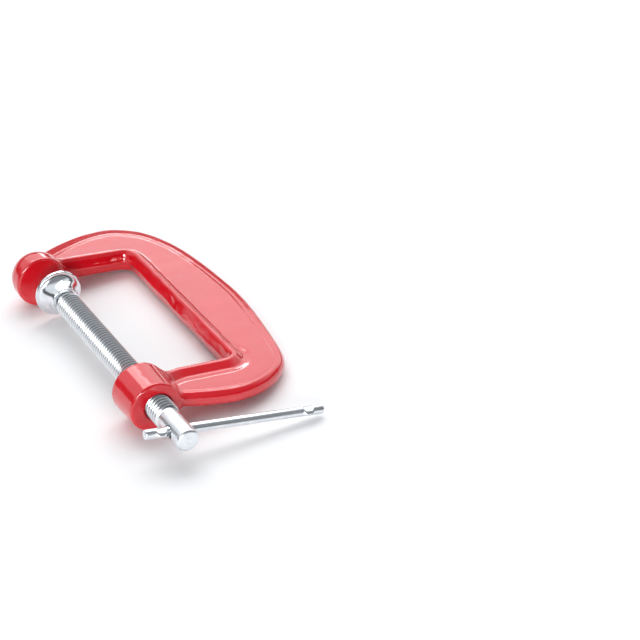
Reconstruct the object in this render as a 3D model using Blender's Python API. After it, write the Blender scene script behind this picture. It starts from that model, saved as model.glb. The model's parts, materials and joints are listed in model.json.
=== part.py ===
"""A 100 mm C clamp, lying on its side.

Built in the clamp's own axes, in millimetres: the screw's axis is Y, from the handle towards the
anvil, with Y = 0 on the boss's near face; X runs from the screw to the back of the frame; Z is
square to the frame's flat sides. The whole clamp is then laid down on its boss, its anvil and the
edge of its rib, with the middle of its box over the world's origin.
"""
import math

import bmesh
import bpy
from mathutils import Matrix, Vector

MM = 0.001

# Driving dimensions, mm
SCREW_DIAMETER = 12.7
THREADS_PER_INCH = 12
THROAT_DEPTH = 48.4
BOSS_LENGTH = 20.0
BOSS_RADIUS = 12.4
BOSS_FAR_RADIUS = 13.2
BOSS_CENTRE_X = -1.5
ANVIL_Y = 131.5
JAW_GAP = 12.0
BAR_DIAMETER = 4.76
BAR_LENGTH = 87.7

# Thread: a plain V, with the bore's V set back by the clearance
PITCH = 25.4 / THREADS_PER_INCH
THREAD_DEPTH = 0.6 * PITCH
THREAD_CLEARANCE = 0.25
THREAD_RUNOUT = 0.15
THREAD_TURNS = 56
CREST_RADIUS = SCREW_DIAMETER / 2
ROOT_RADIUS = CREST_RADIUS - THREAD_DEPTH

# Frame: a raised rib round the throat, a thinner web, and a bevelled rim
LOWER_JAW_Y = 22.6
UPPER_JAW_Y = 139.4
CORNER_RADIUS = 5.0
RIB_WIDTH = 4.0
RIB_HALF = 6.3
WEB_HALF = 3.7
DRAFT = 0.7
ARM_START_X = 8.0
ARM_END_X = -3.0
RIM_POINTS = [
    (0.0, 4.0), (12.0, 0.7), (24.0, -2.6), (40.0, -4.5), (55.0, -1.0), (67.8, 7.2), (75.6, 19.0),
    (81.2, 46.0), (85.2, 80.0), (83.6, 115.0), (78.8, 143.0), (69.0, 163.6), (54.0, 173.4),
    (38.7, 173.4), (23.8, 168.8), (9.0, 161.4), (-8.0, 150.5),
]
# Width of the rim's bevel and half the rim's thickness, from the boss's end (0) to the anvil's (1)
RIM_BEVELS = [(0.0, 3.0), (0.25, 4.0), (0.5, 6.5), (0.75, 11.0), (1.0, 8.0)]
RIM_HALVES = [(0.0, 3.6), (0.3, 3.5), (0.6, 2.6), (1.0, 2.2)]

# Anvil: a flat face with a narrow edge, and a dome behind it
ANVIL_RADIUS = 13.4
ANVIL_CENTRE_X = -3.1
ANVIL_EDGE = 0.6
ANVIL_SIDE_END_Y = 137.5
ANVIL_DOME = 13.0
BOSS_EDGE = 0.8

# Pad, seen from its face back to its mouth
PAD_FACE_Y = ANVIL_Y - JAW_GAP
PAD_RADIUS = 12.0
PAD_RIM = 1.6
PAD_EDGE = 0.4
PAD_NECK_RADIUS = 7.2
BALL_RADIUS = 4.6
BALL_Y = PAD_FACE_Y - 6.4
PAD_BACK_Y = BALL_Y - 4.6
SOCKET_RADIUS = 4.8
GROOVE_RADIUS = 5.5
GROOVE_HALF = 1.05
MOUTH_RADIUS = 4.95

# Spring ring behind the ball
RING_Y = BALL_Y - 2.6
RING_RADIUS = 4.7
RING_WIRE = 0.45
RING_SPLIT_DEG = 30.0

# Screw's plain ends
HEAD_RADIUS = 5.5
HEAD_END_Y = -31.0
HEAD_CHAMFER = 0.9
NECK_RADIUS = 3.0
SHOULDER_Y = BALL_Y - 5.5
THREAD_START_Y = SHOULDER_Y - 2 * THREAD_RUNOUT - THREAD_TURNS * PITCH

# Sliding bar, lying loose in a cross hole through the head: its long end hangs down and sideways
CROSS_HOLE_Y = -20.7
BAR_RADIUS = BAR_DIAMETER / 2
BAR_HOLE_RADIUS = 3.1
BAR_LEFT_X = -16.4
KNOB_LENGTH = 4.8
PINCH_LENGTH = 6.0
PINCH_HALF = 1.7
EAR_HALF = 3.4
PINCH_RAMP = 1.0
BAR_DROP_DEG = 0.9
BAR_SWING_DEG = -5.1

THREAD_SEGMENTS = 24
ROUND_SEGMENTS = 48


def clear_scene():
    for item in list(bpy.data.objects):
        bpy.data.objects.remove(item, do_unlink=True)


def make_material(name, colour, roughness, metallic):
    material = bpy.data.materials.new(name)
    material.use_nodes = True
    shader = material.node_tree.nodes["Principled BSDF"]
    shader.inputs["Base Color"].default_value = (*colour, 1.0)
    shader.inputs["Roughness"].default_value = roughness
    shader.inputs["Metallic"].default_value = metallic
    return material


def make_object(name, shape, material, parent, origin=(0.0, 0.0, 0.0)):
    """An object from a bmesh in clamp millimetres, with its origin at a point of the clamp."""
    shape.transform(Matrix.Scale(MM, 4) @ Matrix.Translation(-Vector(origin)))
    bmesh.ops.recalc_face_normals(shape, faces=shape.faces)
    mesh = bpy.data.meshes.new(name)
    shape.to_mesh(mesh)
    shape.free()
    mesh.shade_smooth()
    mesh.set_sharp_from_angle(angle=math.radians(35))
    mesh.materials.append(material)
    item = bpy.data.objects.new(name, mesh)
    bpy.context.collection.objects.link(item)
    item.parent = parent
    item.location = Vector(origin) * MM
    return item


def add_boolean(item, operand, operation):
    """A live Boolean on item; the operand stays in the scene as a guide."""
    operand.hide_render = True
    operand.display_type = "WIRE"
    modifier = item.modifiers.new(operation.lower() + "_" + operand.name, "BOOLEAN")
    modifier.operation = operation
    modifier.object = operand
    modifier.solver = "EXACT"


def add_ring(shape, y, radius, segments, centre_x=0.0):
    """Vertices on a circle round the Y axis, in the order that a right-hand thread climbs."""
    ring = []
    for i in range(segments):
        angle = -2 * math.pi * i / segments
        ring.append(shape.verts.new((centre_x + radius * math.cos(angle), y, radius * math.sin(angle))))
    return ring


def bridge(shape, rings):
    """Faces between neighbouring rings of equal length."""
    for first, second in zip(rings, rings[1:]):
        for i in range(len(first)):
            j = (i + 1) % len(first)
            shape.faces.new((first[i], first[j], second[j], second[i]))


def turned(profile, centre_x=0.0, segments=ROUND_SEGMENTS):
    """A solid turned round Y from (y, radius) points, closed by a flat disc at each end."""
    shape = bmesh.new()
    rings = [add_ring(shape, y, radius, segments, centre_x) for y, radius in profile]
    bridge(shape, rings)
    shape.faces.new(rings[0])
    shape.faces.new(rings[-1])
    return shape


def arc(centre, radius, start_deg, end_deg, steps):
    """Points on an arc, from one angle to the other."""
    points = []
    for i in range(steps + 1):
        angle = math.radians(start_deg + (end_deg - start_deg) * i / steps)
        points.append((centre[0] + radius * math.cos(angle), centre[1] + radius * math.sin(angle)))
    return points


def smooth_curve(points, steps):
    """A Catmull-Rom curve through the points."""
    ends = [points[0], *points, points[-1]]
    curve = []
    for quad in zip(ends, ends[1:], ends[2:], ends[3:]):
        for i in range(steps):
            t = i / steps
            weights = (
                0.5 * (-t ** 3 + 2 * t ** 2 - t),
                0.5 * (3 * t ** 3 - 5 * t ** 2 + 2),
                0.5 * (-3 * t ** 3 + 4 * t ** 2 + t),
                0.5 * (t ** 3 - t ** 2),
            )
            x = sum(weight * point[0] for weight, point in zip(weights, quad))
            y = sum(weight * point[1] for weight, point in zip(weights, quad))
            curve.append((x, y))
    curve.append(points[-1])
    return curve


def smooth_step(t):
    t = min(1.0, max(0.0, t))
    return t * t * (3 - 2 * t)


def table_value(table, place):
    """Value at a place between the (place, value) rows of a table, with smooth steps."""
    for (place_a, value_a), (place_b, value_b) in zip(table, table[1:]):
        if place <= place_b:
            return value_a + (value_b - value_a) * smooth_step((place - place_a) / (place_b - place_a))
    return table[-1][1]


def distance_to_curve(curve, start, way):
    """Distance from start, along the unit vector way, to the farthest crossing with the curve."""
    farthest = 0.0
    for a, b in zip(curve, curve[1:]):
        run = (b[0] - a[0], b[1] - a[1])
        reach = (a[0] - start[0], a[1] - start[1])
        cross = way[0] * run[1] - way[1] * run[0]
        if abs(cross) < 1e-9:
            continue
        distance = (reach[0] * run[1] - reach[1] * run[0]) / cross
        share = (reach[0] * way[1] - reach[1] * way[0]) / cross
        if 0 <= share <= 1:
            farthest = max(farthest, distance)
    return farthest


def throat_stations():
    """Points round the throat's edge from the boss to the anvil, each with its outward direction."""
    arm_steps = 7
    corner_steps = 7
    spine_steps = 12
    corner_x = THROAT_DEPTH - CORNER_RADIUS
    low_y = LOWER_JAW_Y + CORNER_RADIUS
    high_y = UPPER_JAW_Y - CORNER_RADIUS
    boss_blend = 14.0
    stations = []
    for i in range(arm_steps):
        x = ARM_START_X + (corner_x - ARM_START_X) * i / arm_steps
        rise = smooth_step((x - ARM_START_X) / boss_blend)
        stations.append(((x, BOSS_LENGTH + (LOWER_JAW_Y - BOSS_LENGTH) * rise), (0.0, -1.0)))
    for x, y in arc((corner_x, low_y), CORNER_RADIUS, -90, 0, corner_steps):
        stations.append(((x, y), ((x - corner_x) / CORNER_RADIUS, (y - low_y) / CORNER_RADIUS)))
    for i in range(1, spine_steps):
        stations.append(((THROAT_DEPTH, low_y + (high_y - low_y) * i / spine_steps), (1.0, 0.0)))
    for x, y in arc((corner_x, high_y), CORNER_RADIUS, 0, 90, corner_steps):
        stations.append(((x, y), ((x - corner_x) / CORNER_RADIUS, (y - high_y) / CORNER_RADIUS)))
    for i in range(1, arm_steps + 1):
        stations.append(((corner_x + (ARM_END_X - corner_x) * i / arm_steps, UPPER_JAW_Y), (0.0, 1.0)))
    return stations


def frame_section(width, bevel, rim_half):
    """The frame's section, once round, as (distance outward from the throat's edge, height)."""
    upper = [
        (DRAFT, RIB_HALF),
        (RIB_WIDTH, RIB_HALF),
        (RIB_WIDTH + DRAFT, WEB_HALF),
        (width - bevel, WEB_HALF),
        (width, rim_half),
    ]
    lower = [(outward, -height) for outward, height in reversed(upper)]
    return [(0.0, 0.0), *upper, *lower]


def bow_shape():
    """The C-shaped bow: its section carried round the throat, out to the rim's curve."""
    shape = bmesh.new()
    rim = smooth_curve(RIM_POINTS, 10)
    stations = throat_stations()
    rings = []
    for i, (start, way) in enumerate(stations):
        width = distance_to_curve(rim, start, way)
        place = i / (len(stations) - 1)
        section = frame_section(width, table_value(RIM_BEVELS, place), table_value(RIM_HALVES, place))
        ring = []
        for outward, height in section:
            ring.append(shape.verts.new((start[0] + way[0] * outward, start[1] + way[1] * outward, height)))
        rings.append(ring)
    bridge(shape, rings)
    shape.faces.new(rings[0])
    shape.faces.new(rings[-1])
    return shape


def boss_shape():
    profile = [
        (0.0, BOSS_RADIUS - BOSS_EDGE),
        (BOSS_EDGE, BOSS_RADIUS),
        (BOSS_LENGTH - BOSS_EDGE, BOSS_FAR_RADIUS),
        (BOSS_LENGTH, BOSS_FAR_RADIUS - BOSS_EDGE),
    ]
    return turned(profile, BOSS_CENTRE_X)


def anvil_shape():
    profile = [(ANVIL_Y, ANVIL_RADIUS - ANVIL_EDGE), (ANVIL_Y + ANVIL_EDGE, ANVIL_RADIUS)]
    for across, along in arc((0.0, 0.0), 1.0, 0, 80, 6):
        profile.append((ANVIL_SIDE_END_Y + ANVIL_DOME * along, ANVIL_RADIUS * across))
    return turned(profile, ANVIL_CENTRE_X)


def threaded(before, after, start_y, turns, root_radius, crest_radius):
    """A right-hand V thread between turned ends, given as (y, radius) points.

    The last point before and the first point after the thread are on its root radius. The V rises
    from a quarter of its height over the first turn and falls again over the last.
    """
    shape = bmesh.new()
    count = THREAD_SEGMENTS
    last = turns * count

    def thread_point(step, half_pitches):
        """A root point, or with one half pitch the crest beyond it, a step round the thread."""
        share = min(1.0, 0.25 + min(step, last - step) / count)
        radius = root_radius + (crest_radius - root_radius) * share * (half_pitches % 2)
        angle = -2 * math.pi * step / count
        y = start_y + (step / count + half_pitches / 2) * PITCH
        return shape.verts.new((radius * math.cos(angle), y, radius * math.sin(angle)))

    roots = [thread_point(step, 0) for step in range(last + 1)]
    crests = [thread_point(step, 1) for step in range(last + 1)]
    roots += [thread_point(step, 2) for step in range(last - count + 1, last + 1)]
    for step in range(last):
        above = step + count
        shape.faces.new((roots[step], crests[step], crests[step + 1], roots[step + 1]))
        shape.faces.new((crests[step], roots[above], roots[above + 1], crests[step + 1]))
    shape.faces.new((roots[0], crests[0], roots[count]))
    shape.faces.new((roots[last], crests[last], roots[last + count]))

    low = [add_ring(shape, y, radius, count) for y, radius in before]
    high = [add_ring(shape, y, radius, count) for y, radius in after]
    bridge(shape, low)
    bridge(shape, high)
    shape.faces.new(low[0])
    shape.faces.new(high[-1])
    for i in range(count - 1):
        shape.faces.new((low[-1][i], low[-1][i + 1], roots[i + 1], roots[i]))
        shape.faces.new((roots[last + i + 1], roots[last + i + 2], high[0][(i + 2) % count], high[0][i + 1]))
    shape.faces.new((low[-1][-1], low[-1][0], roots[0], roots[count], roots[count - 1]))
    shape.faces.new((roots[last], roots[last + 1], high[0][1], high[0][0], roots[last + count]))
    return shape


def screw_shape():
    """Plain head, thread, neck and ball in one turned bar."""
    thread_end = THREAD_START_Y + THREAD_TURNS * PITCH
    head = [
        (HEAD_END_Y, HEAD_RADIUS - HEAD_CHAMFER),
        (HEAD_END_Y + HEAD_CHAMFER, HEAD_RADIUS),
        (THREAD_START_Y - 2 * THREAD_RUNOUT, HEAD_RADIUS),
        (THREAD_START_Y - THREAD_RUNOUT, ROOT_RADIUS),
    ]
    neck_deg = 180 - math.degrees(math.asin(NECK_RADIUS / BALL_RADIUS))
    tip = [
        (thread_end + THREAD_RUNOUT, ROOT_RADIUS),
        (SHOULDER_Y, ROOT_RADIUS - THREAD_RUNOUT),
        (SHOULDER_Y + THREAD_RUNOUT, NECK_RADIUS),
        *arc((BALL_Y, 0.0), BALL_RADIUS, neck_deg, 10, 9),
    ]
    return threaded(head, tip, THREAD_START_Y, THREAD_TURNS - 1, ROOT_RADIUS, CREST_RADIUS)


def bore_shape():
    """The boss's threaded hole, in mesh with the screw and at its full depth past both faces."""
    first_turn = math.floor(-THREAD_START_Y / PITCH - 1.5)
    start_y = THREAD_START_Y + first_turn * PITCH
    turns = math.ceil((BOSS_LENGTH - start_y) / PITCH) + 1
    root = ROOT_RADIUS + THREAD_CLEARANCE
    crest = CREST_RADIUS + THREAD_CLEARANCE
    end_y = start_y + (turns + 1) * PITCH
    before = [(start_y - 2 * THREAD_RUNOUT, root), (start_y - THREAD_RUNOUT, root)]
    after = [(end_y + THREAD_RUNOUT, root), (end_y + 2 * THREAD_RUNOUT, root)]
    return threaded(before, after, start_y, turns, root, crest)


def pad_shape():
    """Socket, groove and mouth inside; a mouth edge, a trumpet neck, a rim and a flat face outside."""
    groove_front = RING_Y + GROOVE_HALF
    groove_back = RING_Y - GROOVE_HALF
    inside = [
        *arc((BALL_Y, 0.0), SOCKET_RADIUS, 10, 90, 5),
        (groove_front, SOCKET_RADIUS),
        (groove_front, GROOVE_RADIUS),
        (groove_back, GROOVE_RADIUS),
        (groove_back, MOUTH_RADIUS),
        (PAD_BACK_Y, MOUTH_RADIUS),
    ]
    flare_start = PAD_BACK_Y + 2 * PAD_EDGE
    flare_length = PAD_FACE_Y - PAD_RIM - flare_start
    flare_height = PAD_RADIUS - PAD_EDGE - PAD_NECK_RADIUS
    flare_steps = 6
    flare = []
    for i in range(flare_steps + 1):
        angle = math.pi / 2 * i / flare_steps
        along = flare_start + flare_length * math.sin(angle)
        flare.append((along, PAD_NECK_RADIUS + flare_height * (1 - math.cos(angle))))
    rim = [
        (PAD_FACE_Y - PAD_RIM + PAD_EDGE, PAD_RADIUS),
        (PAD_FACE_Y - PAD_EDGE, PAD_RADIUS),
        (PAD_FACE_Y, PAD_RADIUS - PAD_EDGE),
    ]
    mouth_edge = [(PAD_BACK_Y, PAD_NECK_RADIUS - PAD_EDGE), (PAD_BACK_Y + PAD_EDGE, PAD_NECK_RADIUS)]
    return turned([*inside, *mouth_edge, *flare, *rim])


def ring_shape():
    """A split ring of round wire."""
    shape = bmesh.new()
    around = 28
    wire_sides = 8
    sections = []
    for i in range(around + 1):
        turn = math.radians(RING_SPLIT_DEG / 2 + (360 - RING_SPLIT_DEG) * i / around)
        section = []
        for across, along in arc((RING_RADIUS, RING_Y), RING_WIRE, 0, 360, wire_sides)[:-1]:
            section.append(shape.verts.new((across * math.cos(turn), along, across * math.sin(turn))))
        sections.append(section)
    bridge(shape, sections)
    shape.faces.new(sections[0])
    shape.faces.new(sections[-1])
    return shape


def bar_shape():
    """A round bar along X with a knob at each end; beside each knob it is pinched flat into two ears."""
    shape = bmesh.new()
    sides = 24
    edge = 0.5
    half = [
        (0.0, BAR_RADIUS - edge, BAR_RADIUS - edge),
        (edge, BAR_RADIUS, BAR_RADIUS),
        (KNOB_LENGTH, BAR_RADIUS, BAR_RADIUS),
        (KNOB_LENGTH + PINCH_RAMP, EAR_HALF, PINCH_HALF),
        (KNOB_LENGTH + PINCH_LENGTH - PINCH_RAMP, EAR_HALF, PINCH_HALF),
        (KNOB_LENGTH + PINCH_LENGTH, BAR_RADIUS, BAR_RADIUS),
    ]
    mirrored = [(BAR_LENGTH - x, wide, high) for x, wide, high in reversed(half)]
    sections = []
    for x, wide, high in half + mirrored:
        section = []
        for y, z in arc((0.0, 0.0), 1.0, 0, 360, sides)[:-1]:
            section.append(shape.verts.new((BAR_LEFT_X + x, CROSS_HOLE_Y + wide * y, high * z)))
        sections.append(section)
    bridge(shape, sections)
    shape.faces.new(sections[0])
    shape.faces.new(sections[-1])
    return shape


def cross_hole_shape():
    """Round cutter along X through the screw's head."""
    shape = bmesh.new()
    sides = 32
    sections = []
    for x in (-2 * HEAD_RADIUS, 2 * HEAD_RADIUS):
        section = []
        for y, z in arc((0.0, 0.0), BAR_HOLE_RADIUS, 0, 360, sides)[:-1]:
            section.append(shape.verts.new((x, CROSS_HOLE_Y + y, z)))
        sections.append(section)
    bridge(shape, sections)
    shape.faces.new(sections[0])
    shape.faces.new(sections[-1])
    return shape


def rest_tilt():
    """Angle about Y at which the boss and the rib's lower edge both touch a flat table."""
    reach = THROAT_DEPTH + RIB_WIDTH - BOSS_CENTRE_X
    span = math.hypot(reach, RIB_HALF)
    return math.asin(BOSS_FAR_RADIUS / span) - math.atan2(RIB_HALF, reach)


def lay_down(root, items):
    """Tilt the clamp to its resting angle and put the middle of its box's underside at the origin."""
    root.rotation_euler = (0.0, rest_tilt(), 0.0)
    bpy.context.view_layer.update()
    depsgraph = bpy.context.evaluated_depsgraph_get()
    points = []
    for item in items:
        mesh = item.evaluated_get(depsgraph).to_mesh()
        points += [item.matrix_world @ vertex.co for vertex in mesh.vertices]
    low = [min(point[axis] for point in points) for axis in range(3)]
    high = [max(point[axis] for point in points) for axis in range(3)]
    root.location = (-(low[0] + high[0]) / 2, -(low[1] + high[1]) / 2, -low[2])


def main():
    clear_scene()
    red_paint = make_material("red_paint", (0.62, 0.01, 0.02), 0.22, 0.0)
    zinc_plate = make_material("zinc_plate", (0.78, 0.8, 0.83), 0.28, 1.0)
    spring_steel = make_material("spring_steel", (0.35, 0.35, 0.37), 0.4, 1.0)

    root = bpy.data.objects.new("clamp_axes", None)
    bpy.context.collection.objects.link(root)

    frame = make_object("frame", bow_shape(), red_paint, root)
    add_boolean(frame, make_object("boss_guide", boss_shape(), red_paint, root), "UNION")
    add_boolean(frame, make_object("anvil_guide", anvil_shape(), red_paint, root), "UNION")
    add_boolean(frame, make_object("bore_guide", bore_shape(), red_paint, root), "DIFFERENCE")

    hole_centre = (0.0, CROSS_HOLE_Y, 0.0)
    screw = make_object("screw", screw_shape(), zinc_plate, root, hole_centre)
    cross_hole = make_object("cross_hole_guide", cross_hole_shape(), zinc_plate, root, hole_centre)
    add_boolean(screw, cross_hole, "DIFFERENCE")
    bar = make_object("handle_bar", bar_shape(), zinc_plate, root, hole_centre)
    bar.rotation_euler = (0.0, math.radians(BAR_DROP_DEG), math.radians(BAR_SWING_DEG))

    ball_centre = (0.0, BALL_Y, 0.0)
    pad = make_object("swivel_pad", pad_shape(), zinc_plate, root, ball_centre)
    ring = make_object("pad_retaining_ring", ring_shape(), spring_steel, root, ball_centre)
    lay_down(root, [frame, screw, bar, pad, ring])


main()
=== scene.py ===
import json
import math

import bmesh
import bpy
import numpy as np
from mathutils import Matrix, Vector


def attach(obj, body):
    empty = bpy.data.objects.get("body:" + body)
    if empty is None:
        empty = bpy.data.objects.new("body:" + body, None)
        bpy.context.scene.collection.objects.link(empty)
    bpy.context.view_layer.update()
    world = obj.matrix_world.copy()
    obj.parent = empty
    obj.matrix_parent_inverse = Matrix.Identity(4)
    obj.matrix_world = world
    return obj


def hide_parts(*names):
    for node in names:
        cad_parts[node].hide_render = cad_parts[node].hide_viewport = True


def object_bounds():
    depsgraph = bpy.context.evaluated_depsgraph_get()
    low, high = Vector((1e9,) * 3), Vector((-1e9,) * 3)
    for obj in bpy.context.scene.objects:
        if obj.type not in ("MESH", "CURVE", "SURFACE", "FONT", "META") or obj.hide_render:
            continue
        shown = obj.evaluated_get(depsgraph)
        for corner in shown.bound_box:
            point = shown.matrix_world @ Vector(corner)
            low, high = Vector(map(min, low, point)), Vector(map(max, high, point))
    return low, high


# Looks of a 100 mm C clamp. Shapes are made in the clamp's own axes, in millimetres: X from the
# screw to the back of the frame, Y along the screw towards the anvil, Z square to the frame's flat
# sides, with Y = 0 on the boss's near face. place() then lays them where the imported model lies.
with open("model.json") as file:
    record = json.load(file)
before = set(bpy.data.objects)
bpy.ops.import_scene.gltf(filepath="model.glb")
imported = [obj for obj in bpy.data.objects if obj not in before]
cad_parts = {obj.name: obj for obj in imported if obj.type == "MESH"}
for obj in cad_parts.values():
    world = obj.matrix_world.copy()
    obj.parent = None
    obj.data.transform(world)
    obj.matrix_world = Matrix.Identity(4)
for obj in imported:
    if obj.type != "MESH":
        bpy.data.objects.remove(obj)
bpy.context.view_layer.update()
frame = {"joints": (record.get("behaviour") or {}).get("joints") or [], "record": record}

MM = 0.001
record = frame["record"]
joints = {joint["name"]: joint for joint in frame["joints"]}
mounts = {mount["name"]: mount for mount in record["mounts"]}

# Clamp axes and places along the screw, read from the joints and the mounts
HEAD_HOLE = Vector(joints["screw_turn"]["pos_m"])
BALL = Vector(joints["pad_tilt"]["pos_m"])
AXIS_Y = Vector(joints["screw_turn"]["axis"]).normalized()
AXIS_Z = Vector(joints["pad_tilt"]["axis"]).normalized()
AXIS_X = AXIS_Y.cross(AXIS_Z).normalized()
BAR_AXIS = Vector(joints["handle_slide"]["axis"]).normalized()
CROSS_HOLE_Y = -20.7
ORIGIN = HEAD_HOLE - AXIS_Y * CROSS_HOLE_Y * MM


def along_screw(point):
    """A point's distance along the screw from the boss's near face, in mm."""
    return (Vector(point) - ORIGIN).dot(AXIS_Y) / MM


BALL_Y = along_screw(BALL)
PAD_FACE_Y = along_screw(mounts["pad_face"]["pos_m"])
ANVIL_Y = along_screw(mounts["anvil_face"]["pos_m"])
ANVIL_CENTRE_X = (Vector(mounts["anvil_face"]["pos_m"]) - ORIGIN).dot(AXIS_X) / MM
PITCH = record["behaviour"]["couplings"][0]["ratio"] * 2 * math.pi / MM

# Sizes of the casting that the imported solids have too, mm. RIM_POINTS is the rim's outline from the
# boss round to the anvil, and RIM_HALVES its half thickness. Tables for the rim start at 0 by the
# boss and end at 1 by the anvil
THROAT_DEPTH = 48.4
LOWER_JAW_Y = 22.6
UPPER_JAW_Y = 139.4
CORNER_RADIUS = 5.0
RIB_HALF = 6.3
WEB_HALF = 3.7
BOSS_LENGTH = 20.0
BOSS_RADIUS = 12.4
BOSS_FAR_RADIUS = 13.2
BOSS_CENTRE_X = -1.5
ARM_START_X = 8.0
ARM_END_X = -3.0
ARM_RISE = 14.0
RIM_POINTS = [
    (0.0, 4.0), (12.0, 0.7), (24.0, -2.6), (40.0, -4.5), (55.0, -1.0), (67.8, 7.2), (75.6, 19.0),
    (81.2, 46.0), (85.2, 80.0), (83.6, 115.0), (78.8, 143.0), (69.0, 163.6), (54.0, 173.4),
    (38.7, 173.4), (23.8, 168.8), (9.0, 161.4), (-8.0, 150.5),
]
RIM_HALVES = [(0.0, 3.6), (0.3, 3.5), (0.6, 2.6), (1.0, 2.2)]
ANVIL_RADIUS = 13.4
ANVIL_SIDE_END_Y = 137.5
ANVIL_DOME = 13.0

# Finer shape of the casting. RIM_BEVELS gives the bevel's width round the rim
RIM_BEVELS = [(0.0, 3.0), (0.25, 4.0), (0.5, 6.5), (0.75, 10.0), (1.0, 10.0)]
CREASE_WIDTH = 0.6
CREASE_DEPTH = 0.16
CREASE_BLEND = 0.3
EDGE_CUT = 2.0
UNDER_EDGE_CUT = 0.8
EDGE_CUT_BLEND = 0.7
RIM_EDGE_BLEND = 1.2
ANVIL_DISH = 0.3
ANVIL_EDGE_BLEND = 1.5
BOSS_EDGE_BLEND = 1.0
CAST_FILLET = 4.0
BORE_RADIUS = 6.65
BORE_EDGE_BLEND = 0.7

# Walls of the throat: draft from the parting line, which stands proud, bulged and a little wavy
DRAFT = 2.0
WALL_BLEND = 2.6
WALL_WAVES = 5.0
PARTING_BULGE = 0.6
PARTING_HEIGHT = 0.35
PARTING_WIDTH = 0.7
PARTING_WANDER = 8.0

# Rib: steep on the lower arm, with a shallow gutter at its foot; run out into the web up the spine
RIB_SLOPE = 1.3
SPINE_RIB_SLOPE = 0.6
RIB_TOP_WIDTH = 3.6
SPINE_RIB_TOP_WIDTH = 3.0
RIB_EDGE_BLEND = 0.8
FOOT_BLEND = 0.8
SPINE_FOOT_BLEND = 2.5
GUTTER_DEPTH = 0.8
GUTTER_WIDTH = 4.0
RIB_FADE_Y = 24.0
RIB_FADE_LENGTH = 14.0

# Unevenness of the cast surface, as (wavelength, height), with this many waves of each
CAST_WAVES = [(23.0, 0.025), (14.0, 0.02), (9.0, 0.014), (6.0, 0.01), (4.0, 0.006)]
WAVES_OF_EACH = 3

# Grid that the casting's surface is found on
CAST_STEP = 0.55
CAST_LOW = (-18.0, -5.5, -14.6)
CAST_HIGH = (87.5, 176.5, 14.6)

# Screw. ROOT_SHADE is the share of the plating's brightness left at the thread's root by painted shade,
# which comes back over the share ROOT_SHADE_HEIGHT of the thread's depth
CREST_RADIUS = 6.35
THREAD_DEPTH = 0.6 * PITCH
ROOT_RADIUS = CREST_RADIUS - THREAD_DEPTH
THREAD_TURNS = 56
THREAD_RUNOUT_TURNS = 0.35
THREAD_FEATHER = 0.06
SHOULDER_Y = BALL_Y - 5.5
THREAD_START_Y = SHOULDER_Y - 0.3 - THREAD_TURNS * PITCH
THREAD_SEGMENTS = 48
HEAD_RADIUS = 5.5
HEAD_END_Y = -31.0
NECK_RADIUS = 3.0
BALL_RADIUS = 4.6
ROOT_SHADE = 0.04
ROOT_SHADE_HEIGHT = 0.95

# Swivel pad and the ring in it
PAD_RADIUS = 12.0
PAD_EDGE_RADIUS = 0.55
PAD_NECK_RADIUS = 7.2
PAD_BACK_Y = BALL_Y - 4.6
PAD_MOUTH_RADIUS = 4.95
PAD_MOUTH_EDGE = 0.5
PAD_FLANGE_THICKNESS = 2.0
SOCKET_RADIUS = 4.8
RING_GROOVE_RADIUS = 5.5
RING_GROOVE_BEHIND_BALL = (1.55, 3.65)
RING_RADIUS = 4.7
RING_WIRE_RADIUS = 0.45
RING_GAP_DEG = 30.0

# Handle bar and its cross hole
BAR_RADIUS = 2.38
BAR_HOLE_RADIUS = 3.1
BAR_LENGTH = 87.7
BAR_LEFT_X = -16.4
KNOB_LENGTH = 4.8
PINCH_LENGTH = 6.0
PINCH_WIDER = 0.95
PINCH_THINNER = 0.68

# Angles above which an edge between two faces stays sharp
SCREW_SHARP_DEG = 38
PLAIN_SHARP_DEG = 40

FLOOR_GAP_M = 0.00005


def place(mesh):
    """Move a mesh from clamp millimetres to the model's frame."""
    turn = Matrix((AXIS_X, AXIS_Y, AXIS_Z)).transposed().to_4x4()
    mesh.transform(Matrix.Translation(ORIGIN) @ turn @ Matrix.Scale(MM, 4))


def add_object(name, data):
    item = bpy.data.objects.new(name, data)
    bpy.context.scene.collection.objects.link(item)
    return item


def new_piece(name, mesh, material, body, replaced, sharp_deg=None):
    """A visible piece that rides on a body, in place of a CAD node."""
    place(mesh)
    mesh.shade_smooth()
    if sharp_deg is not None:
        mesh.set_sharp_from_angle(angle=math.radians(sharp_deg))
    mesh.materials.append(material)
    piece = add_object(name, mesh)
    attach(piece, body)
    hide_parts(replaced)
    return piece


# ---------------------------------------------------------------- casting as a distance field

def smooth_max(a, b, blend):
    return np.maximum(a, b) + np.maximum(blend - np.abs(a - b), 0.0) ** 2 / (4 * blend)


def smooth_min(a, b, blend):
    return np.minimum(a, b) - np.maximum(blend - np.abs(a - b), 0.0) ** 2 / (4 * blend)


def smooth_step(t):
    t = np.clip(t, 0.0, 1.0)
    return t * t * (3 - 2 * t)


def bell_curve(distance, width):
    return np.exp(-(distance / width) ** 2)


def between(start, end, share):
    return start + (end - start) * share


def table_values(table, places):
    """Values at places between the (place, value) rows of a table, with smooth steps."""
    values = np.full(places.shape, table[0][1])
    for (place_a, value_a), (place_b, value_b) in zip(table, table[1:]):
        values += (value_b - value_a) * smooth_step((places - place_a) / (place_b - place_a))
    return values


def smooth_curve(points, steps):
    """A Catmull-Rom curve through the points."""
    ends = np.array([points[0], *points, points[-1]], float)
    t = (np.arange(steps) / steps)[:, None]
    curve = []
    for a, b, c, d in zip(ends, ends[1:], ends[2:], ends[3:]):
        curve.append(0.5 * ((-t ** 3 + 2 * t ** 2 - t) * a + (3 * t ** 3 - 5 * t ** 2 + 2) * b
                            + (-3 * t ** 3 + 4 * t ** 2 + t) * c + (t ** 3 - t ** 2) * d))
    curve.append(ends[-1:])
    return np.concatenate(curve)


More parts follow.
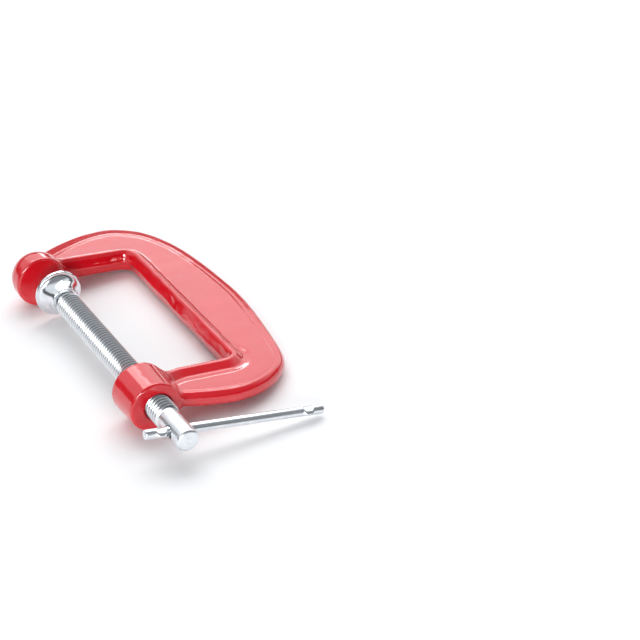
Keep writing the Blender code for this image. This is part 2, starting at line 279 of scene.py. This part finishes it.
def rim_fields(x, y):
    """Distance inward from the rim's curve, and how far round the rim its nearest point is, 0 to 1."""
    curve = smooth_curve(RIM_POINTS, 8)
    far_left = -60.0
    closed = np.vstack([curve, [far_left, curve[-1][1]], [far_left, curve[0][1]], curve[:1]])
    nearest = np.full(x.shape, np.inf)
    place_round = np.zeros(x.shape)
    inside = np.zeros(x.shape, bool)
    for i, (a, b) in enumerate(zip(closed, closed[1:])):
        run = b - a
        crosses = (a[1] > y) != (b[1] > y)
        if run[1]:
            inside ^= crosses & (x < a[0] + (y - a[1]) * run[0] / run[1])
        if i >= len(curve) - 1:
            continue
        share = np.clip(((x - a[0]) * run[0] + (y - a[1]) * run[1]) / (run @ run), 0.0, 1.0)
        distance = np.hypot(x - a[0] - share * run[0], y - a[1] - share * run[1])
        closer = distance < nearest
        nearest = np.where(closer, distance, nearest)
        place_round = np.where(closer, (i + share) / (len(curve) - 1), place_round)
    return np.where(inside, nearest, -nearest), place_round


def throat_field(x, y):
    """Distance outward from the throat's edge, positive in the frame's metal."""
    rise = smooth_step((x - ARM_START_X) / ARM_RISE)
    low = between(BOSS_LENGTH, LOWER_JAW_Y, rise)
    middle = (low + UPPER_JAW_Y) / 2
    across_x = x - (THROAT_DEPTH - CORNER_RADIUS)
    across_y = np.abs(y - middle) - ((UPPER_JAW_Y - low) / 2 - CORNER_RADIUS)
    outside = np.hypot(np.maximum(across_x, 0), np.maximum(across_y, 0))
    return outside + np.minimum(np.maximum(across_x, across_y), 0) - CORNER_RADIUS


def casting_waves(x, y, z):
    """Gentle unevenness of a sand-cast surface, in mm: a sum of waves in fixed random directions."""
    random = np.random.default_rng(7)
    total = np.zeros(np.broadcast_shapes(x.shape, y.shape, z.shape))
    for wavelength, height in CAST_WAVES:
        for _ in range(WAVES_OF_EACH):
            way = random.normal(size=3)
            way *= 2 * math.pi / wavelength / np.linalg.norm(way)
            phase = random.uniform(0, 6.28)
            total = total + height / 2 * np.sin(x * way[0] + y * way[1] + z * way[2] + phase)
    return total


def web_field(inward, height, top, bevel, rim_half, gutter):
    """The thin web: flat but for the gutter, bevelled towards the rim, with a cut along its edge."""
    slope = (WEB_HALF - rim_half) / bevel
    bevel_plane = (height - rim_half - slope * inward) / np.hypot(1.0, slope)
    web = smooth_max(height - WEB_HALF + gutter, bevel_plane, CREASE_BLEND)
    web = web + CREASE_DEPTH * bell_curve(inward - bevel, CREASE_WIDTH)
    edge_cut = np.where(top, EDGE_CUT, UNDER_EDGE_CUT)
    edge = (height - inward - rim_half + edge_cut) / math.sqrt(2.0)
    web = smooth_max(web, edge, EDGE_CUT_BLEND)
    return smooth_max(web, -inward, RIM_EDGE_BLEND)


def wall_field(outward, z, waves):
    """The throat's walls: draft both ways from the parting line, and a low ridge along it."""
    wander = PARTING_WANDER * waves
    parting = PARTING_HEIGHT * bell_curve(z - wander, PARTING_WIDTH)
    return -outward - PARTING_BULGE + DRAFT * np.abs(z) / RIB_HALF + WALL_WAVES * waves - parting


def bow_field(x, y, z, waves):
    """Signed distance to the C-shaped bow: web, bevelled rim, and the rib round the throat."""
    rim_distance, round_rim = rim_fields(x[:, :, 0], y[:, :, 0])
    inward = rim_distance[:, :, None]
    outward = throat_field(x[:, :, 0], y[:, :, 0])[:, :, None]
    bevel = table_values(RIM_BEVELS, round_rim)[:, :, None]
    rim_half = table_values(RIM_HALVES, round_rim)[:, :, None]
    height = np.abs(z)

    up_spine = smooth_step((y[:, :, :1] - RIB_FADE_Y) / RIB_FADE_LENGTH)
    rib_slope = between(RIB_SLOPE, SPINE_RIB_SLOPE, up_spine)
    rib_top = between(RIB_TOP_WIDTH, SPINE_RIB_TOP_WIDTH, up_spine)
    foot_blend = between(FOOT_BLEND, SPINE_FOOT_BLEND, up_spine)
    foot = rib_top + rib_slope * (RIB_HALF - WEB_HALF + GUTTER_DEPTH)
    beside_foot = np.clip(1 - (outward - foot) / GUTTER_WIDTH, 0.0, 1.0)
    gutter = GUTTER_DEPTH * (1 - up_spine) * beside_foot

    web = web_field(inward, height, z > 0, bevel, rim_half, gutter)
    rib_side = (outward - rib_top - rib_slope * (RIB_HALF - height)) / np.hypot(1.0, rib_slope)
    rib = smooth_max(height - RIB_HALF, rib_side, RIB_EDGE_BLEND)
    bow = smooth_max(smooth_min(web, rib, foot_blend), wall_field(outward, z, waves), WALL_BLEND)
    near_anvil = y > (LOWER_JAW_Y + UPPER_JAW_Y) / 2
    return np.maximum(bow, np.where(near_anvil, ARM_END_X, ARM_START_X) - x)


def boss_field(x, y, z):
    from_axis = np.hypot(x - BOSS_CENTRE_X, z)
    radius = between(BOSS_RADIUS, BOSS_FAR_RADIUS, np.clip(y / BOSS_LENGTH, 0.0, 1.0))
    ends = np.abs(y - BOSS_LENGTH / 2) - BOSS_LENGTH / 2
    return smooth_max(from_axis - radius, ends, BOSS_EDGE_BLEND)


def anvil_field(x, y, z):
    """Signed distance to the anvil: a slightly dished face, a short round side and a dome."""
    from_axis = np.hypot(x - ANVIL_CENTRE_X, z)
    dome_along = np.maximum(y - ANVIL_SIDE_END_Y, 0.0) * ANVIL_RADIUS / ANVIL_DOME
    dome = np.hypot(from_axis, dome_along) - ANVIL_RADIUS
    dish = ANVIL_DISH * np.maximum(1 - (from_axis / ANVIL_RADIUS) ** 2, 0.0)
    return smooth_max(dome, ANVIL_Y + dish - y, ANVIL_EDGE_BLEND)


def casting_field(x, y, z):
    """Signed distance to the painted casting: bow, boss and anvil, with cast fillets between them."""
    waves = casting_waves(x, y, z)
    body = smooth_min(bow_field(x, y, z, waves), boss_field(x, y, z), CAST_FILLET)
    body = smooth_min(body, anvil_field(x, y, z), CAST_FILLET) + waves
    bore = BORE_RADIUS - np.hypot(x, z)
    in_boss = y < 2 * BOSS_LENGTH
    return np.where(in_boss, smooth_max(body, bore, BORE_EDGE_BLEND), body)


def cube_corners():
    return [(i, j, k) for i in (0, 1) for j in (0, 1) for k in (0, 1)]


def net_vertices(field, cells, low, step):
    """For each cell, the middle of the points where the surface crosses its edges."""
    total = np.zeros((len(cells), 3))
    hits = np.zeros(len(cells))
    for axis in range(3):
        for corner in cube_corners():
            if corner[axis]:
                continue
            start = cells + np.array(corner)
            end = start.copy()
            end[:, axis] += 1
            a = field[tuple(start.T)]
            b = field[tuple(end.T)]
            crossing = (a < 0) != (b < 0)
            point = start.astype(float)
            point[:, axis] += np.where(crossing, a / np.where(crossing, a - b, 1.0), 0.0)
            total[crossing] += point[crossing]
            hits += crossing
    return np.array(low) + step * total / hits[:, None]


def net_quads(solid, index):
    """A quad round each grid edge that the surface crosses, joining the four cells beside the edge."""
    quads = []
    for axis in range(3):
        side, up = (axis + 1) % 3, (axis + 2) % 3
        first = [slice(1, n) for n in index.shape]
        first[axis] = slice(0, index.shape[axis])
        second = list(first)
        second[axis] = slice(1, index.shape[axis] + 1)
        edges = np.argwhere(solid[tuple(first)] != solid[tuple(second)])
        edges += np.array([0 if i == axis else 1 for i in range(3)])
        falls = solid[tuple(edges.T)]
        ring = []
        for step_side, step_up in ((1, 1), (0, 1), (0, 0), (1, 0)):
            cell = edges.copy()
            cell[:, side] -= step_side
            cell[:, up] -= step_up
            ring.append(index[tuple(cell.T)])
        quad = np.stack(ring, axis=1)
        quads.append(np.where(falls[:, None], quad, quad[:, ::-1]))
    return np.concatenate(quads)


def surface_net(field, low, step):
    """Vertices and quads of the field's zero surface, one vertex for each cell that it passes through."""
    solid = field < 0
    shape = np.array(field.shape) - 1
    count = np.zeros(shape, np.int8)
    for corner in cube_corners():
        count += solid[tuple(slice(c, c + n) for c, n in zip(corner, shape))]
    cells = np.argwhere((count > 0) & (count < 8))
    index = np.full(shape, -1)
    index[tuple(cells.T)] = np.arange(len(cells))
    return net_vertices(field, cells, low, step), net_quads(solid, index)


def sample_field(field, low, step, points):
    """The field's value and slope at points between its grid points."""
    place_in_grid = (points - np.array(low)) / step
    cell = np.clip(np.floor(place_in_grid).astype(int), 0, np.array(field.shape) - 2)
    part = place_in_grid - cell
    value = np.zeros(len(points))
    slope = np.zeros((len(points), 3))
    for corner in cube_corners():
        shares = [part[:, n] if corner[n] else 1 - part[:, n] for n in range(3)]
        signs = [1 if corner[n] else -1 for n in range(3)]
        at_corner = field[tuple((cell + np.array(corner)).T)]
        value += at_corner * shares[0] * shares[1] * shares[2]
        slope[:, 0] += at_corner * signs[0] * shares[1] * shares[2]
        slope[:, 1] += at_corner * signs[1] * shares[0] * shares[2]
        slope[:, 2] += at_corner * signs[2] * shares[0] * shares[1]
    return value, slope / step


def casting_mesh():
    """The field's zero surface, with its vertices then moved on to the field's smooth zero."""
    low = np.array(CAST_LOW)
    counts = np.ceil((np.array(CAST_HIGH) - low) / CAST_STEP).astype(int)
    axes = [low[i] + CAST_STEP * np.arange(counts[i]) for i in range(3)]
    x, y, z = np.meshgrid(*axes, indexing="ij", sparse=True)
    x = x + np.zeros_like(y)
    y = y + np.zeros_like(x)
    field = casting_field(x, y, z)
    vertices, quads = surface_net(field, low, CAST_STEP)
    for _ in range(3):
        value, slope = sample_field(field, low, CAST_STEP, vertices)
        steepness = np.maximum((slope ** 2).sum(1), 0.2)
        vertices -= slope * (value / steepness)[:, None]
    mesh = bpy.data.meshes.new("painted_casting")
    mesh.from_pydata(vertices.tolist(), [], quads.tolist())
    mesh.validate()
    return mesh


# ---------------------------------------------------------------- turned and threaded pieces

def add_ring(shape, y, radius, segments):
    """Vertices on a circle round the screw's axis, in the order that a right-hand thread climbs."""
    ring = []
    for i in range(segments):
        angle = -2 * math.pi * i / segments
        ring.append(shape.verts.new((radius * math.cos(angle), y, radius * math.sin(angle))))
    return ring


def bridge(shape, rings):
    for first, second in zip(rings, rings[1:]):
        for i in range(len(first)):
            j = (i + 1) % len(first)
            shape.faces.new((first[i], first[j], second[j], second[i]))


def arc(centre, radius, start_deg, end_deg, steps):
    points = []
    for i in range(steps + 1):
        angle = math.radians(start_deg + (end_deg - start_deg) * i / steps)
        points.append((centre[0] + radius * math.cos(angle), centre[1] + radius * math.sin(angle)))
    return points


def circle(centre, radius, sides):
    return arc(centre, radius, 0, 360, sides)[:-1]


def to_mesh(name, shape):
    bmesh.ops.recalc_face_normals(shape, faces=shape.faces)
    mesh = bpy.data.meshes.new(name)
    shape.to_mesh(mesh)
    shape.free()
    return mesh


def closed_mesh(name, shape, rings):
    """A skin through the rings, closed at both ends."""
    bridge(shape, rings)
    shape.faces.new(rings[0])
    shape.faces.new(rings[-1])
    return to_mesh(name, shape)


def turned_mesh(name, profile, segments=128):
    shape = bmesh.new()
    return closed_mesh(name, shape, [add_ring(shape, y, radius, segments) for y, radius in profile])


def rolled_profile():
    """One pitch of a rolled thread, as (share of the pitch, share of its height)."""
    return [(0.0, 0.0), (0.07, 0.02), (0.16, 0.2), (0.38, 0.84), (0.45, 0.97), (0.5, 1.0),
            (0.55, 0.97), (0.62, 0.84), (0.84, 0.2), (0.93, 0.02)]


def threaded_shape(before, after, start_y, turns, segments):
    """A right-hand rolled thread between turned ends, given as (y, radius) points."""
    shape = bmesh.new()
    profile = rolled_profile()
    last = turns * segments
    count = len(profile)

    def thread_vertex(step, part):
        turn, index = divmod(part, count)
        along, height = profile[index]
        from_end = min(step, last - step) / segments
        share = between(THREAD_FEATHER, 1.0, smooth_step(from_end / THREAD_RUNOUT_TURNS))
        radius = ROOT_RADIUS + THREAD_DEPTH * float(share) * height
        angle = -2 * math.pi * step / segments
        y = start_y + (step / segments + along + turn) * PITCH
        return shape.verts.new((radius * math.cos(angle), y, radius * math.sin(angle)))

    grid = [[thread_vertex(step, part) for part in range(count)] for step in range(last + 1)]
    top = [thread_vertex(step, count) for step in range(last - segments + 1, last + 1)]

    def at(step, part):
        if part < count:
            return grid[step][part]
        above = step + segments
        return grid[above][0] if above <= last else top[above - last - 1]

    for step in range(last):
        for part in range(count):
            shape.faces.new((
                at(step, part), at(step, part + 1), at(step + 1, part + 1), at(step + 1, part),
            ))
    shape.faces.new([at(0, part) for part in range(count + 1)])
    shape.faces.new([at(last, part) for part in range(count + 1)])

    low = [add_ring(shape, y, radius, segments) for y, radius in before]
    high = [add_ring(shape, y, radius, segments) for y, radius in after]
    bridge(shape, low)
    bridge(shape, high)
    shape.faces.new(low[0])
    shape.faces.new(high[-1])
    for i in range(segments - 1):
        shape.faces.new((low[-1][i], low[-1][i + 1], grid[i + 1][0], grid[i][0]))
        shape.faces.new((top[i], top[i + 1], high[0][(i + 2) % segments], high[0][i + 1]))
    shape.faces.new((low[-1][-1], low[-1][0], grid[0][0], grid[segments][0], grid[segments - 1][0]))
    shape.faces.new((grid[last][0], top[0], high[0][1], high[0][0], top[-1]))
    return shape


def screw_mesh():
    """Plain head with a chamfered end, rolled thread, neck and ball."""
    thread_end = THREAD_START_Y + THREAD_TURNS * PITCH
    head = [
        (HEAD_END_Y + 0.45, 0.9),
        (HEAD_END_Y + 0.1, 1.6),
        (HEAD_END_Y, 2.2),
        (HEAD_END_Y, HEAD_RADIUS - 1.0),
        (HEAD_END_Y + 0.12, HEAD_RADIUS - 0.72),
        (HEAD_END_Y + 0.72, HEAD_RADIUS - 0.12),
        (HEAD_END_Y + 1.0, HEAD_RADIUS),
        (HEAD_END_Y + 1.6, HEAD_RADIUS),
        (THREAD_START_Y - 1.0, HEAD_RADIUS),
        (THREAD_START_Y - 0.6, HEAD_RADIUS - 0.02),
        (THREAD_START_Y - 0.2, ROOT_RADIUS + 0.02),
        (THREAD_START_Y - 0.1, ROOT_RADIUS),
    ]
    neck_deg = 180 - math.degrees(math.asin(NECK_RADIUS / BALL_RADIUS))
    tip = [
        (thread_end + 0.05, ROOT_RADIUS),
        (SHOULDER_Y - 0.2, ROOT_RADIUS),
        (SHOULDER_Y, ROOT_RADIUS - 0.2),
        (SHOULDER_Y + 0.1, NECK_RADIUS),
        *arc((BALL_Y, 0.0), BALL_RADIUS, neck_deg, 4, 16),
    ]
    shape = threaded_shape(head, tip, THREAD_START_Y, THREAD_TURNS - 1, THREAD_SEGMENTS)
    return to_mesh("screw_spindle", shape)


def pad_mesh():
    """Socket and mouth inside; a mouth edge, a trumpet neck, a rim and a flat face outside."""
    groove_front, groove_back = (BALL_Y - behind for behind in RING_GROOVE_BEHIND_BALL)
    inside = [
        *arc((BALL_Y, 0.0), SOCKET_RADIUS, 6, 90, 12),
        (groove_front, SOCKET_RADIUS),
        (groove_front, RING_GROOVE_RADIUS),
        (groove_back, RING_GROOVE_RADIUS),
        (groove_back, PAD_MOUTH_RADIUS),
        (PAD_BACK_Y + 0.3, PAD_MOUTH_RADIUS),
        (PAD_BACK_Y, PAD_MOUTH_RADIUS + 0.3),
    ]
    mouth_centre = (PAD_BACK_Y + PAD_MOUTH_EDGE, PAD_NECK_RADIUS - PAD_MOUTH_EDGE)
    mouth = arc(mouth_centre, PAD_MOUTH_EDGE, 180, 90, 5)

    flare_start = PAD_BACK_Y + 1.6
    flare_end = PAD_FACE_Y - PAD_FLANGE_THICKNESS
    edge_centre_radius = PAD_RADIUS - PAD_EDGE_RADIUS
    flare = []
    steps = 18
    for i in range(steps + 1):
        angle = math.pi / 2 * i / steps
        y = between(flare_start, flare_end, math.sin(angle))
        flare.append((y, between(PAD_NECK_RADIUS, edge_centre_radius, 1 - math.cos(angle))))

    rim_back = arc((flare_end + PAD_EDGE_RADIUS, edge_centre_radius), PAD_EDGE_RADIUS, 170, 90, 5)
    rim_front = arc((PAD_FACE_Y - PAD_EDGE_RADIUS, edge_centre_radius), PAD_EDGE_RADIUS, 90, 0, 6)
    face = [(PAD_FACE_Y, radius) for radius in (9.0, 4.0, 0.6)]
    return turned_mesh("pad_body", [*inside, *mouth, *flare, *rim_back, *rim_front, *face])


def bar_mesh():
    """Round bar with knobs; beside each knob it is pinched flat into two ears."""
    half = []
    for x, radius in ((0.0, 1.0), (0.0, 1.75), (0.12, 2.1), (0.35, 2.3), (0.7, BAR_RADIUS)):
        half.append((x, radius, radius))
    steps = 14
    for i in range(steps + 1):
        t = i / steps
        depth = float(smooth_step(min(t, 1 - t) * 4))
        wide = BAR_RADIUS + PINCH_WIDER * depth
        high = BAR_RADIUS - PINCH_THINNER * depth
        half.append((KNOB_LENGTH + PINCH_LENGTH * t, wide, high))
    mirrored = [(BAR_LENGTH - x, wide, high) for x, wide, high in reversed(half)]

    shape = bmesh.new()
    sections = []
    for x, wide, high in half + mirrored:
        section = []
        for y, z in circle((0.0, 0.0), 1.0, 48):
            section.append(shape.verts.new((BAR_LEFT_X + x, wide * y, high * z)))
        sections.append(section)
    return closed_mesh("t_bar", shape, sections)


def lay_bar(mesh):
    """Turn the bar from the X axis to its own axis, and move it into the cross hole."""
    way = Vector((BAR_AXIS.dot(AXIS_X), BAR_AXIS.dot(AXIS_Y), BAR_AXIS.dot(AXIS_Z)))
    turn = Vector((1.0, 0.0, 0.0)).rotation_difference(way).to_matrix().to_4x4()
    mesh.transform(Matrix.Translation((0.0, CROSS_HOLE_Y, 0.0)) @ turn)


def ring_mesh():
    """Spring ring of round wire with a gap, in the middle of the pad's groove."""
    middle = BALL_Y - sum(RING_GROOVE_BEHIND_BALL) / 2
    shape = bmesh.new()
    sections = []
    steps = 64
    for i in range(steps + 1):
        turn = math.radians(RING_GAP_DEG / 2 + (360.0 - RING_GAP_DEG) * i / steps)
        section = []
        for across, along in circle((RING_RADIUS, middle), RING_WIRE_RADIUS, 14):
            section.append(shape.verts.new((across * math.cos(turn), along, across * math.sin(turn))))
        sections.append(section)
    return closed_mesh("spring_ring", shape, sections)


def cross_hole_mesh():
    """Cutter for the bar's hole through the head, with a small countersink at each end."""
    half = [(8.0, BAR_HOLE_RADIUS + 3.2), (5.1, BAR_HOLE_RADIUS + 0.3), (4.7, BAR_HOLE_RADIUS)]
    shape = bmesh.new()
    sections = []
    for x, radius in [(-x, radius) for x, radius in half] + half[::-1]:
        section = []
        for y, z in circle((0.0, 0.0), radius, 48):
            section.append(shape.verts.new((x, CROSS_HOLE_Y + y, z)))
        sections.append(section)
    return closed_mesh("cross_hole", shape, sections)


def cut_cross_hole(screw):
    mesh = cross_hole_mesh()
    place(mesh)
    cutter = add_object("cross_hole", mesh)
    modifier = screw.modifiers.new("cross_hole", "BOOLEAN")
    modifier.operation = "DIFFERENCE"
    modifier.object = cutter
    bpy.context.view_layer.update()
    depsgraph = bpy.context.evaluated_depsgraph_get()
    cut = bpy.data.meshes.new_from_object(screw.evaluated_get(depsgraph))
    screw.modifiers.clear()
    screw.data = cut
    bpy.data.objects.remove(cutter)
    cut.shade_smooth()
    cut.set_sharp_from_angle(angle=math.radians(SCREW_SHARP_DEG))


# ---------------------------------------------------------------- shader nodes

class Shading:
    """A material or world's node tree, with short ways to add the nodes used here."""

    def __init__(self, owner):
        owner.use_nodes = True
        self.nodes = owner.node_tree.nodes
        self.links = owner.node_tree.links

    def add(self, kind, operation=None):
        node = self.nodes.new("ShaderNode" + kind)
        if operation:
            node.operation = operation
        return node

    def noise(self, scale, detail, coordinates):
        node = self.add("TexNoise")
        node.inputs["Scale"].default_value = scale
        node.inputs["Detail"].default_value = detail
        self.links.new(coordinates, node.inputs["Vector"])
        return node.outputs["Fac"]

    def ramp(self, factor, low, low_colour, high, high_colour):
        node = self.add("ValToRGB")
        first, last = node.color_ramp.elements
        first.position = low
        first.color = (*low_colour, 1.0)
        last.position = high
        last.color = (*high_colour, 1.0)
        self.links.new(factor, node.inputs["Fac"])
        return node.outputs["Color"]

    def bump(self, height, distance, strength, normal=None):
        node = self.add("Bump")
        node.inputs["Distance"].default_value = distance
        node.inputs["Strength"].default_value = strength
        self.links.new(height, node.inputs["Height"])
        if normal is not None:
            self.links.new(normal, node.inputs["Normal"])
        return node.outputs["Normal"]

    def vector(self, operation, vector, fixed=None):
        """A vector calculation on a socket and, except for a length, a fixed vector."""
        node = self.add("VectorMath", operation)
        self.links.new(vector, node.inputs[0])
        if fixed is not None:
            node.inputs[1].default_value = fixed
        return node

    def scaled(self, colour, factor):
        node = self.add("VectorMath", "SCALE")
        self.links.new(colour, node.inputs[0])
        self.links.new(factor, node.inputs["Scale"])
        return node.outputs["Vector"]

    def map_range(self, value, low, high, to_low, to_high):
        node = self.add("MapRange")
        node.inputs["From Min"].default_value = low
        node.inputs["From Max"].default_value = high
        node.inputs["To Min"].default_value = to_low
        node.inputs["To Max"].default_value = to_high
        self.links.new(value, node.inputs["Value"])
        return node.outputs["Result"]


def new_material(name):
    material = bpy.data.materials.new(name)
    shading = Shading(material)
    return material, shading, shading.nodes["Principled BSDF"]


# ---------------------------------------------------------------- materials

def red_enamel():
    """Glossy paint over a slightly uneven casting."""
    material, shading, shader = new_material("red_enamel")
    coordinates = shading.add("TexCoord").outputs["Object"]
    tone = shading.noise(60.0, 4.0, coordinates)
    colour = shading.ramp(tone, 0.3, (0.66, 0.0005, 0.008), 0.7, (0.72, 0.001, 0.012))
    shading.links.new(colour, shader.inputs["Base Color"])
    shader.inputs["Roughness"].default_value = 0.35
    shader.inputs["Specular IOR Level"].default_value = 0.1
    shader.inputs["Coat Weight"].default_value = 1.0
    shader.inputs["Coat Roughness"].default_value = 0.06
    shader.inputs["Coat IOR"].default_value = 1.8
    coarse = shading.noise(220.0, 3.0, coordinates)
    fine = shading.noise(900.0, 2.0, coordinates)
    normal = shading.bump(coarse, 0.0002, 0.35)
    normal = shading.bump(fine, 0.00006, 0.35, normal)
    shading.links.new(normal, shader.inputs["Normal"])
    shading.links.new(normal, shader.inputs["Coat Normal"])
    return material


def root_shade(shading):
    """Share of the plating's brightness left by painted shade between the threads, where the roots lie in
    shadow.
    """
    coordinates = shading.add("TexCoord").outputs["Object"]
    from_origin = shading.vector("SUBTRACT", coordinates, ORIGIN).outputs["Vector"]
    along = shading.vector("DOT_PRODUCT", from_origin, AXIS_Y).outputs["Value"]
    across = shading.vector("CROSS_PRODUCT", from_origin, AXIS_Y).outputs["Vector"]
    radius = shading.vector("LENGTH", across).outputs["Value"]
    root = ROOT_RADIUS * MM
    clean = root + ROOT_SHADE_HEIGHT * THREAD_DEPTH * MM
    # painted shade: the plating is darkest at the thread's root and brightens towards the crest
    by_radius = shading.map_range(radius, root, clean, ROOT_SHADE, 1.0)

    from_middle = shading.add("Math", "SUBTRACT")
    from_middle.inputs[1].default_value = (THREAD_START_Y + THREAD_TURNS * PITCH / 2) * MM
    shading.links.new(along, from_middle.inputs[0])
    distance = shading.add("Math", "ABSOLUTE")
    shading.links.new(from_middle.outputs["Value"], distance.inputs[0])
    half = (THREAD_TURNS / 2 - 1) * PITCH * MM
    fade = 0.5 * MM
    beyond = shading.map_range(distance.outputs["Value"], half - fade, half + fade, 0.0, 1.0)

    share = shading.add("Math", "MAXIMUM")
    shading.links.new(by_radius, share.inputs[0])
    shading.links.new(beyond, share.inputs[1])
    return share.outputs["Value"]


def plated(name, base, roughness, dark_roots=False):
    """Bright metal, faintly mottled and grained; the screw's has painted shade at the thread's roots."""
    material, shading, shader = new_material(name)
    coordinates = shading.add("TexCoord").outputs["Object"]
    tone = shading.noise(300.0, 5.0, coordinates)
    dull = (base[0] * 0.9, base[1] * 0.92, base[2] * 0.94)
    colour = shading.ramp(tone, 0.35, dull, 0.65, base)
    if dark_roots:
        # painted shade darkens the plating towards the thread's roots
        colour = shading.scaled(colour, root_shade(shading))
    shading.links.new(colour, shader.inputs["Base Color"])
    shader.inputs["Metallic"].default_value = 1.0
    shader.inputs["Roughness"].default_value = roughness
    grain = shading.noise(1500.0, 3.0, coordinates)
    normal = shading.bump(grain, 0.00005, 0.25)
    shading.links.new(normal, shader.inputs["Normal"])
    return material


# ---------------------------------------------------------------- pieces

def build_casting():
    new_piece("painted_casting", casting_mesh(), red_enamel(), "frame_body", "frame")


def build_screw():
    plating = plated("thread_plating", (0.92, 0.94, 0.96), 0.3, dark_roots=True)
    screw = new_piece(
        "screw_spindle", screw_mesh(), plating, "screw_body", "screw", SCREW_SHARP_DEG,
    )
    cut_cross_hole(screw)


def build_pad():
    plating = plated("bright_plating", (0.88, 0.90, 0.92), 0.16)
    new_piece(
        "pad_body", pad_mesh(), plating, "pad_body", "swivel_pad", PLAIN_SHARP_DEG,
    )


def build_spring_ring():
    steel = plated("spring_steel", (0.40, 0.40, 0.42), 0.35)
    new_piece(
        "spring_ring", ring_mesh(), steel, "ring_body", "pad_retaining_ring",
        PLAIN_SHARP_DEG,
    )


def build_bar():
    plating = plated("zinc_plating", (0.88, 0.90, 0.92), 0.28)
    bar = bar_mesh()
    lay_bar(bar)
    new_piece("t_bar", bar, plating, "bar_body", "handle_bar", PLAIN_SHARP_DEG)


# ---------------------------------------------------------------- stage, light and camera

def build_stage():
    material, _, shader = new_material("white_table")
    shader.inputs["Base Color"].default_value = (0.94, 0.94, 0.94, 1.0)
    shader.inputs["Roughness"].default_value = 0.6
    shape = bmesh.new()
    bmesh.ops.create_grid(shape, x_segments=1, y_segments=1, size=4.0)
    floor = add_object("table_top", to_mesh("table_top", shape))
    floor.data.materials.append(material)
    floor.location = (0.0, 0.0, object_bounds()[0].z - FLOOR_GAP_M)


def build_room():
    """A room that is pale behind the clamp, and dark overhead, in front and low down all round."""
    world = bpy.data.worlds.new("studio")
    shading = Shading(world)
    direction = shading.add("TexCoord").outputs["Generated"]
    darkest_way = Vector((0.2, -0.72, 0.66)).normalized()
    facing = shading.vector("DOT_PRODUCT", direction, darkest_way).outputs["Value"]
    sky = shading.ramp(facing, 0.52, (0.82, 0.85, 0.88), 0.78, (0.24, 0.25, 0.265))
    height = shading.add("SeparateXYZ")
    shading.links.new(direction, height.inputs["Vector"])
    horizon = shading.map_range(height.outputs["Z"], 0.26, 0.36, 0.12, 1.0)
    background = shading.nodes["Background"]
    shading.links.new(shading.scaled(sky, horizon), background.inputs["Color"])
    background.inputs["Strength"].default_value = 1.0
    bpy.context.scene.world = world


def add_softbox(name, position, size, power):
    """A rectangular light aimed at the clamp."""
    data = bpy.data.lights.new(name, "AREA")
    data.shape = "RECTANGLE"
    data.size, data.size_y = size
    data.energy = power
    light = add_object(name, data)
    light.location = position
    light.rotation_euler = (-light.location).to_track_quat("-Z", "Y").to_euler()


def build_lights():
    """A broad softbox and two low windows behind the clamp, one softbox over it and one in front."""
    add_softbox("back_softbox", (1.0, 1.75, 1.28), (3.4, 1.25), 9.6)
    add_softbox("low_window", (1.164, 2.235, 0.72), (0.5, 0.28), 2.4)
    add_softbox("side_window", (2.15, 1.32, 0.67), (1.7, 0.5), 3.2)
    add_softbox("overhead_softbox", (0.5, 1.2, 2.1), (2.6, 1.5), 31.0)
    add_softbox("front_softbox", (-0.9, -1.9, 0.6), (0.9, 0.5), 22.0)


def build_camera():
    """Long lens, looking down on the clamp from beyond its handle."""
    data = bpy.data.cameras.new("camera")
    data.sensor_width = 36.0
    data.lens = 98.8
    camera = add_object("camera", data)
    azimuth = math.radians(29.022)
    elevation = math.radians(32.044)
    roll = math.radians(1.433)
    distance = 0.86781
    target = Vector((0.068536, -0.039722, 0.009902))
    forward = Vector((
        math.cos(elevation) * math.sin(azimuth),
        math.cos(elevation) * math.cos(azimuth),
        -math.sin(elevation),
    ))
    camera.location = target - forward * distance
    level = forward.to_track_quat("-Z", "Y").to_matrix().to_4x4()
    camera.rotation_euler = (Matrix.Rotation(roll, 4, forward) @ level).to_euler()
    bpy.context.scene.camera = camera


build_casting()
build_screw()
build_pad()
build_spring_ring()
build_bar()
build_stage()
build_room()
build_lights()
build_camera()
bpy.context.scene.view_settings.view_transform = "Standard"
